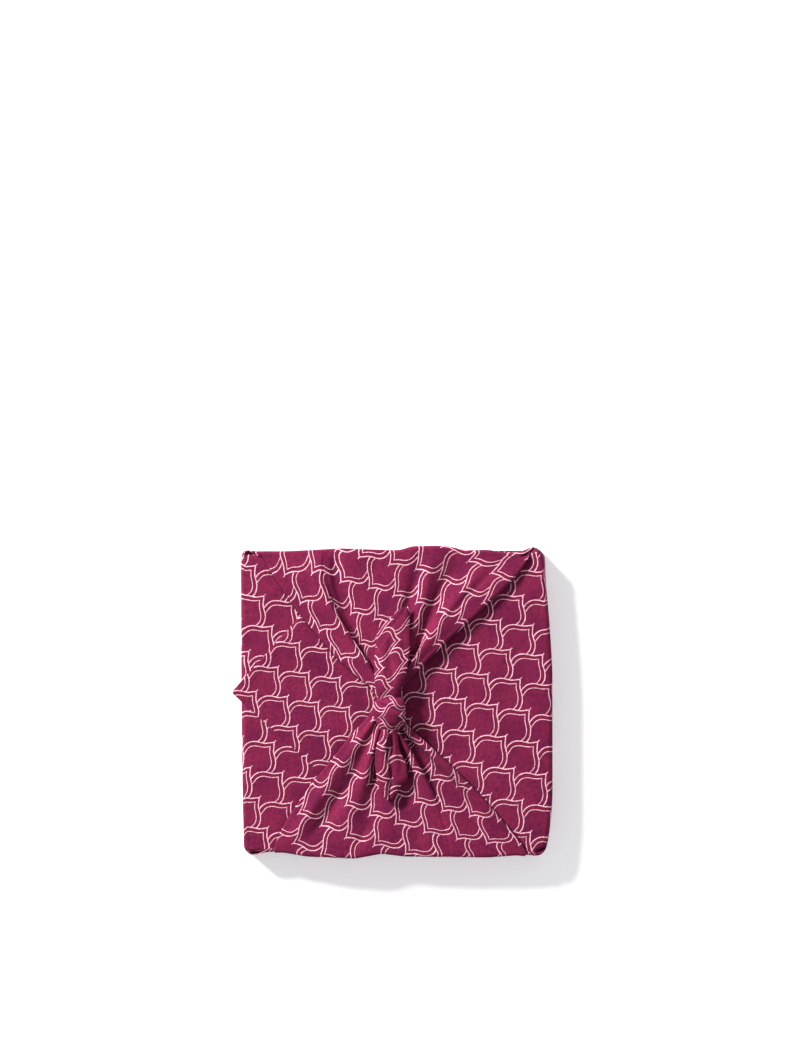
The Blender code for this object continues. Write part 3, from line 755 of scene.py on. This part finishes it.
def add_hem_turn(cloth, points, flat):
    """The flap's free edges turned down and under."""
    start = 2 * CORNER_STEPS - 1
    for column, sign in ((0, -1), (-1, 1)):
        edge = points[start:, column]
        out = -sign * left_of(edge)
        rows = []
        for reach, drop in HEM_TURN:
            row = edge.copy()
            row[:, :2] += out * reach
            row[:, 2] -= drop
            rows.append(row)
        hem = np.zeros((len(rows), len(edge), 2))
        hem[..., 1] = edge[:, 0]
        cloth.add(rows, flat[start:, column], hem)


def west_free_rows():
    """The hidden part of the west flap, running in at 45 degrees to its corner."""
    rows = []
    for x in np.linspace(FREE_FROM_WEST, WEST_TIP_X, WEST_LID_ROWS):
        half = min(TUCKED_HALF, WEST_TIP_X + WEST_TIP_MARGIN - x)
        rows.append((x, half, -half))
    return rows


def east_free_rows():
    """The east flap up to its tip, which stands out past the west edge."""
    tip_x, tip_y = EAST_TIP
    rows = []
    for x in np.linspace(FREE_FROM_EAST, tip_x, EAST_LID_ROWS):
        run = x - tip_x
        north = min(TUCKED_HALF, tip_y + EAST_TIP_BLUNT + run * NORTH_HEM_SLOPE)
        south = max(-TUCKED_HALF, tip_y - EAST_TIP_BLUNT + run * SOUTH_HEM_SLOPE)
        rows.append((x, north, south))
    return rows


# Gathered flaps
def fan_lines(folds, sign):
    """Every fold line as points with their places on the flat cloth."""
    t = np.linspace(0.0, 1.0, FAN_ROWS + 1)
    rim_y = sign * (BOX_HALF - FAN_INSET)
    lines = []
    for fold in folds:
        x = (fold.edge_x, fold.upper_x, fold.lower_x, fold.neck_x)
        y = (rim_y, fold.upper_y, fold.lower_y, fold.neck_y)
        columns = (x, y, fold.lifts, fold.cloth_p, fold.cloth_q)
        lines.append(np.stack([through_four(values, t) for values in columns], axis=-1))
    return np.stack(lines)


def between_lines(lines):
    """Columns between the fold lines; heights swell and dip softly between them."""
    columns = []
    for left, right in zip(lines, lines[1:]):
        for step in range(FOLD_STEPS):
            share = step / FOLD_STEPS
            soft = (1 - math.cos(math.pi * share)) / 2
            column = left + (right - left) * share
            column[:, 2] = left[:, 2] + (right[:, 2] - left[:, 2]) * soft
            columns.append(column)
    columns.append(lines[-1])
    return np.stack(columns, axis=1)


def add_fan(cloth, folds, sign, throat, marks, shade_strength):
    """A gathered flap from the ring of the walls up over the rim and in to the knot."""
    grid = between_lines(fan_lines(folds, sign))
    fan = on_outline(grid[..., 0], grid[..., 1], BOX_HEIGHT)
    fan[..., 2] = lid_height(fan) + FAN_LAYER + grid[..., 2]
    fan = marked(fan, marks)
    least = floor_under(fan) + LAYER_GAP
    within = np.abs(fan[..., 1]) < BOX_HALF - FREE_RIM
    fan[..., 2] = np.where(within, np.maximum(fan[..., 2], least), fan[..., 2])
    stations = fold_stations(folds)
    rim_z = fan[0, :, 2]
    walls = [on_outline(stations, sign * BOX_HALF, RING_HEIGHT)]
    for step in range(FAN_RIM_STEPS):
        angle = math.pi / 2 * step / FAN_RIM_STEPS
        out = FAN_RIM * math.cos(angle) - FAN_INSET
        row = on_outline(stations, sign * (BOX_HALF + out), RING_HEIGHT)
        row[:, 2] = rim_z - FAN_RIM * (1 - math.sin(angle))
        walls.append(row)
    middle = fan[-1].mean(axis=0)
    necks = []
    for step in range(1, NECK_STEPS + 1):
        share = step / NECK_STEPS
        spread = 1 - (1 - THROAT_SPREAD) * share
        necks.append(middle + (np.array(throat) - middle) * share + (fan[-1] - middle) * spread)
    points = np.concatenate((walls, fan, necks))
    wall_steps = np.linalg.norm(np.diff(points[:len(walls) + 1], axis=0), axis=2)
    to_rim = np.cumsum(wall_steps.mean(axis=1)[::-1])[::-1]
    p = np.pad(grid[..., 3], ((len(walls), NECK_STEPS), (0, 0)), mode="edge")
    q_wall = grid[0, :, 4] - to_rim[:, None]
    q_neck = grid[-1, :, 4] + np.arange(1, NECK_STEPS + 1)[:, None] * NECK_STEP
    q = np.concatenate((q_wall, grid[..., 4], q_neck))
    flat = np.stack((p, sign * q), axis=-1)
    cloth.add(points, flat)
    body = points[len(walls):]
    body_flat = flat[len(walls):]
    add_roll(cloth, body[:, 0], body_flat[:, 0], -sign, -1, shade_strength[0])
    add_roll(cloth, body[:, -1], body_flat[:, -1], sign, 1, shade_strength[1])


def floor_under(points):
    """Where a rolled edge touches down: on the east flap, or beyond its hems on the west one."""
    inside = hem_of(points)[..., 0]
    share = np.clip(1 + inside / HEM_STEP, 0.0, 1.0)
    low = WEST_LAYER + LAYER_GAP
    return lid_height(points) + low + (EAST_LAYER - WEST_LAYER) * share


def add_roll(cloth, line, flat, outward, cloth_way, shade_strength):
    """The outer fold of a gathered flap: cloth rolled down and tucked back under."""
    out = outward * left_of(line)
    share = np.linspace(0.0, 1.0, len(line))
    most = MOST_ROLL + (NECK_ROLL - MOST_ROLL) * share**NECK_ROLL_POWER
    floor = floor_under(line)
    radius = np.minimum(most, np.maximum(LEAST_ROLL, (line[:, 2] - floor) / 2))
    edge = line[:, :2] + out * radius[:, None]
    # the rolled edge is kept for painting shade on the cloth beside it
    cloth.edges.append((edge[::EDGE_STRIDE], out[::EDGE_STRIDE], shade_strength))
    rows, flats = [line], [flat]
    for step in range(1, ROLL_STEPS + 1):
        angle = math.pi * step / ROLL_STEPS
        row = line.copy()
        row[:, :2] += out * (radius * math.sin(angle))[:, None]
        row[:, 2] -= radius * (1 - math.cos(angle))
        rows.append(row)
        moved = flat.copy()
        moved[:, 0] += cloth_way * radius * angle
        flats.append(moved)
    under = rows[-1]
    tuck = TUCK * (1 - TUCK_NARROWS * share)
    for step in range(1, TUCK_STEPS + 1):
        part = step / TUCK_STEPS
        row = under.copy()
        row[:, 0] -= np.sign(out[:, 0]) * tuck * part
        down = np.maximum(floor_under(row), under[:, 2] - TUCK_DROP * part)
        row[:, 2] = np.minimum(under[:, 2], down)
        rows.append(row)
        moved = flats[ROLL_STEPS].copy()
        moved[:, 0] += cloth_way * tuck * part
        flats.append(moved)
    cloth.add(rows, flats)


# Knot and tails
def table_at(table, share):
    """The columns of a table at a share of its length, by a smooth curve through its rows."""
    values = np.array(table, np.float64)
    place = share * (len(values) - 1)
    base = int(min(math.floor(place), len(values) - 2))
    t = place - base
    before = values[max(base - 1, 0)]
    after = values[min(base + 2, len(values) - 1)]
    first, second = values[base], values[base + 1]
    rise, fall = (second - before) / 2, (after - first) / 2
    bend = first * (2 * t**3 - 3 * t**2 + 1) + second * (3 * t**2 - 2 * t**3)
    return bend + rise * (t**3 - 2 * t**2 + t) + fall * (t**3 - t**2)


def printed_by(points, tips):
    """Places on the flat cloth so that a tip and its two neighbours stand where tips says."""
    way = np.array(TIP_WAY)
    across = np.array((-TIP_WAY[1], TIP_WAY[0]))
    up = PERIOD * way
    aside = COLUMN * across + DROP * PERIOD * way
    steps = np.transpose(tips[1:])
    share = (points[..., :2] - tips[0]) @ np.linalg.inv(steps).T
    return np.array(ANCHOR) + share[..., :1] * up + share[..., 1:] * aside


def add_knot(cloth):
    rows = []
    for share in np.linspace(0.0, 1.0, KNOT_ROWS):
        x, y, z, half_width, half_thick, lean = table_at(KNOT, share)
        angle = np.linspace(0.0, 2 * math.pi, KNOT_COLUMNS + 1)
        x = x + half_width * np.cos(angle)
        z = z + half_thick * np.sin(angle) + lean * np.cos(angle)
        rows.append(np.stack((x, np.full_like(x, y), z), axis=-1))
    points = np.stack(rows)
    upper = marked(points.copy(), KNOT_MARKS)
    is_upper = points[..., 2] > KNOT_WAIST
    points[..., 2] = np.where(is_upper, upper[..., 2], points[..., 2])
    cloth.add(points, printed_by(points, KNOT_PRINT))


def resampled(path, count):
    """A path's corners rounded off, as evenly spaced points."""
    wide = np.array(path) * (TAIL_SPAN, 1.0)
    for _ in range(CORNER_CUTS):
        cut = [wide[0]]
        for a, b in zip(wide, wide[1:]):
            cut += [a + (b - a) * CORNER_CUT, b + (a - b) * CORNER_CUT]
        wide = np.array([*cut, wide[-1]])
    run = np.concatenate(([0.0], np.cumsum(np.linalg.norm(np.diff(wide, axis=0), axis=1))))
    at = np.linspace(0.0, run[-1], count)
    return np.stack([np.interp(at, run, wide[:, k]) for k in (0, 1)], axis=-1) / (TAIL_SPAN, 1.0)


def add_tail(cloth, table, across, tips, marks):
    path = resampled(across, TAIL_COLUMNS)
    rows = []
    for share in np.linspace(0.0, 1.0, TAIL_ROWS):
        y, left, right, height, bow = table_at(table, share)
        width = max(right - left, LEAST_TAIL)
        x = left + width * path[:, 0]
        fullness = min(1.0, width / FULL_TAIL)
        crown = bow * np.sin(np.pi * np.clip(path[:, 0], 0, 1))
        z = height + path[:, 1] * fullness + crown
        rows.append(np.stack((x, np.full_like(x, y), z), axis=-1))
    points = marked(np.stack(rows), marks)
    cloth.add(points, printed_by(points, tips))


# Material
class Nodes:
    """Short calls for the nodes of one material."""

    def __init__(self, material):
        self.tree = material.node_tree

    def new(self, kind, **sockets):
        node = self.tree.nodes.new(kind)
        for name, value in sockets.items():
            self.put(node.inputs[name], value)
        return node

    def put(self, socket, value):
        if isinstance(value, bpy.types.NodeSocket):
            self.tree.links.new(value, socket)
        else:
            socket.default_value = value

    def math(self, operation, a, b=0.0, c=0.0):
        node = self.new("ShaderNodeMath")
        node.operation = operation
        for socket, value in zip(node.inputs, (a, b, c)):
            self.put(socket, value)
        return node.outputs[0]

    def plus(self, a, b):
        return self.math("ADD", a, b)

    def minus(self, a, b):
        return self.math("SUBTRACT", a, b)

    def times(self, a, b, and_then=0.0):
        return self.math("MULTIPLY_ADD", a, b, and_then)

    def layer(self, name):
        """One of the mesh's layers as a vector and as its two values."""
        node = self.new("ShaderNodeUVMap")
        node.uv_map = name
        split = self.new("ShaderNodeSeparateXYZ", Vector=node.outputs[0])
        return node.outputs[0], split.outputs[0], split.outputs[1]

    def noise(self, place, rate, detail):
        return self.new("ShaderNodeTexNoise", Vector=place, Scale=rate, Detail=detail)

    def curve(self, value, points):
        node = self.new("ShaderNodeFloatCurve")
        curve = node.mapping.curves[0]
        while len(curve.points) < len(points):
            curve.points.new(0.5, 0.5)
        for point, (x, y) in zip(curve.points, points):
            point.location = (x, y)
            point.handle_type = "VECTOR"
        node.mapping.update()
        self.put(node.inputs["Value"], value)
        return node.outputs[0]

    def ramp(self, value, low, high):
        node = self.new("ShaderNodeMapRange", Value=value)
        node.interpolation_type = "SMOOTHSTEP"
        node.inputs["From Min"].default_value = low
        node.inputs["From Max"].default_value = high
        return node.outputs[0]

    def mix(self, share, a, b, blend="MIX"):
        node = self.new("ShaderNodeMix")
        node.data_type = "RGBA"
        node.blend_type = blend
        self.put(node.inputs[0], share)
        for number, value in ((6, a), (7, b)):
            self.put(node.inputs[number], (*value, 1.0) if isinstance(value, tuple) else value)
        return node.outputs[2]


def inner_shape():
    """The inner line of a scale as depth and half width, set in from the outline."""
    depths, widths = (np.array(column, np.float64) for column in zip(*SCALE_SHAPE))
    at = np.linspace(0.0, INNER_DEPTH, INNER_SAMPLES)
    width = np.pad(np.interp(at, depths, widths), INNER_SMOOTH, mode="edge")
    spread = 2 * INNER_SMOOTH + 1
    width = np.convolve(width, np.ones(spread) / spread, mode="valid")
    slope = np.gradient(width, at)
    gap = INNER_GAP + (INNER_GAP_SIDE - INNER_GAP) * np.clip(at / INNER_GAP_GROWS, 0.0, 1.0)
    steep = np.hypot(1.0, slope)
    depth = at + gap * slope / steep
    half = width - gap / steep
    keep = half > 0
    order = np.argsort(depth[keep])
    places = np.append(np.arange(depth[keep].min(), INNER_END, INNER_STEP), SHAPE_REACH)
    return [(0.0, 0.0), *zip(places, np.interp(places, depth[keep][order], half[keep][order]))]


def slope_share(shape):
    """How much nearer the outline is than its sideways distance, at some depths."""
    depths, widths = zip(*shape)
    rows = []
    for depth in SLOPE_DEPTHS:
        low, high = max(depth - SLOPE_REACH, 0.0), depth + SLOPE_REACH
        slope = (np.interp(high, depths, widths) - np.interp(low, depths, widths)) / (high - low)
        rows.append((depth / SHAPE_REACH, 1 / math.hypot(1, slope)))
    return rows


def scale_repeat(nodes, p, q):
    """Distances in millimetres inside the topmost scale's outline and inside its inner line,
    how far the place is past the last tip of its column, and how far beside that column."""
    p = nodes.minus(p, ANCHOR[0])
    q = nodes.minus(q, ANCHOR[1])
    up = nodes.times(p, TIP_WAY[0], nodes.times(q, TIP_WAY[1]))
    side = nodes.times(p, -TIP_WAY[1], nodes.times(q, TIP_WAY[0]))
    column = nodes.math("ROUND", nodes.math("DIVIDE", side, COLUMN))

    def scale_of(step):
        """Depth behind the tip and distance aside, in the scale of this or a neighbour column."""
        number = nodes.plus(column, float(step))
        climb = nodes.times(number, -DROP * PERIOD, up)
        part = nodes.math("FRACT", nodes.math("DIVIDE", climb, -PERIOD))
        away = nodes.math("ABSOLUTE", nodes.times(number, -COLUMN, side))
        return nodes.times(part, PERIOD), away

    def half_width(depth, shape):
        at = nodes.math("DIVIDE", depth, SHAPE_REACH)
        shares = [(place / SHAPE_REACH, half / SHAPE_WIDE) for place, half in shape]
        return nodes.times(nodes.curve(at, shares), SHAPE_WIDE)

    own_depth, own_away = scale_of(0)
    deepest = nodes.plus(own_depth, PERIOD)
    widest = own_away
    for depth, away in ((own_depth, own_away), scale_of(-1), scale_of(1)):
        is_in = nodes.math("GREATER_THAN", half_width(depth, SCALE_SHAPE), away)
        holds = nodes.times(is_in, nodes.math("LESS_THAN", depth, deepest))
        widest = nodes.times(holds, nodes.minus(away, widest), widest)
        deepest = nodes.times(holds, nodes.minus(depth, deepest), deepest)
    inner = inner_shape()
    at = nodes.math("DIVIDE", deepest, SHAPE_REACH)
    gap = nodes.minus(half_width(deepest, SCALE_SHAPE), widest)
    inside = nodes.times(gap, nodes.curve(at, slope_share(SCALE_SHAPE)))
    gap = nodes.minus(half_width(deepest, inner), widest)
    before_tip = nodes.math("MINIMUM", nodes.minus(deepest, float(inner[1][0])), 0.0)
    within = nodes.times(nodes.plus(gap, before_tip), nodes.curve(at, slope_share(inner)))
    return inside, within, nodes.minus(PERIOD, own_depth), own_away


def printed(nodes, place, x, y, cloud):
    """The colour of the ground with the bands and lines of the print on it."""
    waver = nodes.noise(place, WAVER_RATE, 1.0).outputs["Color"]
    wobble = nodes.new("ShaderNodeSeparateXYZ", Vector=waver)
    p = nodes.times(x, 1 / MM, nodes.times(wobble.outputs[0], WAVER))
    q = nodes.times(y, 1 / MM, nodes.times(wobble.outputs[1], WAVER))
    inside, within, tip_gap, own_away = scale_repeat(nodes, p, q)
    outer = nodes.ramp(inside, OUTER_LINE + LINE_SOFT, OUTER_LINE - LINE_SOFT)
    half = INNER_LINE / 2
    inner = nodes.ramp(nodes.math("ABSOLUTE", within), half + INNER_SOFT, half - INNER_SOFT)
    flick = nodes.times(nodes.ramp(tip_gap, *FLICK_LENGTH), nodes.ramp(own_away, *FLICK_HALF))
    line = nodes.math("MAXIMUM", nodes.math("MAXIMUM", outer, inner), flick)
    ground = nodes.mix(nodes.ramp(cloud, *CLOUD_RAMP), GROUND, GROUND_SHADE)
    colour = nodes.mix(nodes.ramp(within, BAND_SOFT, -BAND_SOFT), ground, BAND)
    return nodes.mix(line, colour, LINE)


def woven(nodes, place, x, y):
    """The twill's threads, uneven ribs and flecks as one value."""
    thread = nodes.math("SINE", nodes.times(x, TWILL[0], nodes.times(y, TWILL[1])))
    fleck = nodes.noise(place, FLECK_RATE, 3.0)
    across = nodes.times(nodes.plus(x, y), RIB_ACROSS)
    along = nodes.times(nodes.minus(x, y), RIB_ALONG)
    rib_place = nodes.new("ShaderNodeCombineXYZ", X=across, Y=along)
    ribs = nodes.noise(rib_place.outputs[0], 1.0, 1.0)
    flecks = nodes.times(fleck.outputs["Fac"], 1 - RIB_SHARE)
    return nodes.times(thread, THREAD_SHARE, nodes.times(ribs.outputs["Fac"], RIB_SHARE, flecks))


def relief(nodes, place, weave):
    """The height of the weave, the hem, its stitches and the cloth's small ripples."""
    edge, run = (nodes.times(value, 1 / MM) for value in nodes.layer("hem")[1:])
    thick = nodes.ramp(edge, HEM_WIDTH + HEM_SOFT, HEM_WIDTH - HEM_SOFT)
    off_row = nodes.math("ABSOLUTE", nodes.minus(edge, HEM_WIDTH - STITCH_INSET))
    wave = nodes.math("SINE", nodes.times(run, 2 * math.pi / STITCH_PERIOD))
    stitch = nodes.times(nodes.ramp(off_row, *STITCH_HALF), nodes.ramp(wave, *STITCH_RAMP))
    height = nodes.times(weave, WEAVE_RELIEF, nodes.times(thick, HEM_RELIEF))
    height = nodes.times(stitch, STITCH_RELIEF, height)
    ripple = nodes.noise(place, RIPPLE_RATE, 3.0)
    return nodes.times(ripple.outputs["Fac"], RIPPLE_RELIEF, height)


def new_material(name, look):
    """A material with fixed values on its shader's sockets."""
    material = bpy.data.materials.new(name)
    material.use_nodes = True
    shader = material.node_tree.nodes["Principled BSDF"]
    for socket, value in look:
        shader.inputs[socket].default_value = value
    return material, shader


def cloth_material():
    material, shader = new_material("printed plum cotton", CLOTH_LOOK)
    nodes = Nodes(material)
    place, x, y = nodes.layer("flat_cloth")
    cloud = nodes.noise(place, CLOUD_RATE, 4.0).outputs["Fac"]
    weave = woven(nodes, place, x, y)
    shade = nodes.ramp(weave, *SHADE_RAMP)
    grey = nodes.new("ShaderNodeCombineColor", Red=shade, Green=shade, Blue=shade)
    colour = printed(nodes, place, x, y, cloud)
    colour = nodes.mix(SHADE_SHARE, colour, grey.outputs[0], "MULTIPLY")
    # painted shade: the cloth darkens in the crevice beside each gathered flap's rolled edge
    outside, shade_strength = nodes.layer("painted_shade")[1:]
    near = nodes.ramp(nodes.times(outside, 1 / MM), CREASE_SHADE_REACH, CREASE_SHADE_CORE)
    colour = nodes.mix(nodes.times(near, shade_strength), colour, PAINTED_CREASE_SHADE)
    nodes.put(shader.inputs["Base Color"], colour)
    height = relief(nodes, place, weave)
    bump = nodes.new("ShaderNodeBump", Height=height, Distance=1.0, Strength=BUMP_STRENGTH)
    nodes.put(shader.inputs["Normal"], bump.outputs[0])
    rough = nodes.times(nodes.ramp(cloud, *ROUGH_RAMP), ROUGH_SPAN, ROUGH_LEAST)
    nodes.put(shader.inputs["Roughness"], rough)
    return material


# The scene
def placed(name, data):
    obj = bpy.data.objects.new(name, data)
    bpy.context.scene.collection.objects.link(obj)
    return obj


def add_floor():
    mesh = bpy.data.meshes.new("floor")
    corners = [(x * FLOOR_HALF, y * FLOOR_HALF, 0) for x, y in ((-1, -1), (1, -1), (1, 1), (-1, 1))]
    mesh.from_pydata(corners, [], [(0, 1, 2, 3)])
    mesh.materials.append(new_material("pale floor", FLOOR_LOOK)[0])
    floor = placed("floor", mesh)
    return floor


def add_lights():
    for name, place, size, power, colour in LIGHTS:
        data = bpy.data.lights.new(name, "AREA")
        data.shape = "DISK"
        data.size = size
        data.energy = power
        data.color = colour
        light = placed(name, data)
        light.location = place
        way = np.subtract(LIGHT_TARGET, place)
        tilt = math.atan2(math.hypot(way[0], way[1]), -way[2])
        light.rotation_euler = (tilt, 0.0, math.atan2(way[1], way[0]) - math.pi / 2)
    world = bpy.data.worlds.new("studio")
    world.use_nodes = True
    for socket, value in SKY:
        world.node_tree.nodes["Background"].inputs[socket].default_value = value
    bpy.context.scene.world = world


def add_camera():
    data = bpy.data.cameras.new("camera")
    data.lens = LENS
    data.sensor_width = SENSOR
    data.clip_end = CLIP_END
    camera = placed("camera", data)
    camera.location = (*PHOTO_CENTRE, TOP_PLANE + FRAME_LONG * LENS / SENSOR)
    bpy.context.scene.camera = camera


def build_cloth():
    cloth = Cloth()
    add_tray(cloth)
    add_fan(cloth, NORTH_FOLDS, 1, NORTH_THROAT, NORTH_MARKS, NORTH_EDGE_SHADE)
    add_fan(cloth, SOUTH_FOLDS, -1, SOUTH_THROAT, SOUTH_MARKS, SOUTH_EDGE_SHADE)
    add_lid(cloth, "west", WEST_LAYER, west_free_rows(), WEST_MARKS)
    add_lid(cloth, "east", EAST_LAYER, east_free_rows(), EAST_MARKS)
    add_knot(cloth)
    add_tail(cloth, NORTH_TAIL, NORTH_ACROSS, NORTH_TAIL_PRINT, NORTH_TAIL_MARKS)
    add_tail(cloth, SOUTH_TAIL, SOUTH_ACROSS, SOUTH_TAIL_PRINT, SOUTH_TAIL_MARKS)
    piece = placed("furoshiki_cloth", cloth.mesh("furoshiki cloth"))
    piece.data.materials.append(cloth_material())
    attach(piece, "root")
    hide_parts("wrap_cloth")
    return piece


def main():
    bpy.context.scene.view_settings.view_transform = "Standard"
    floor = add_floor()
    piece = build_cloth()
    add_lights()
    add_camera()


main()
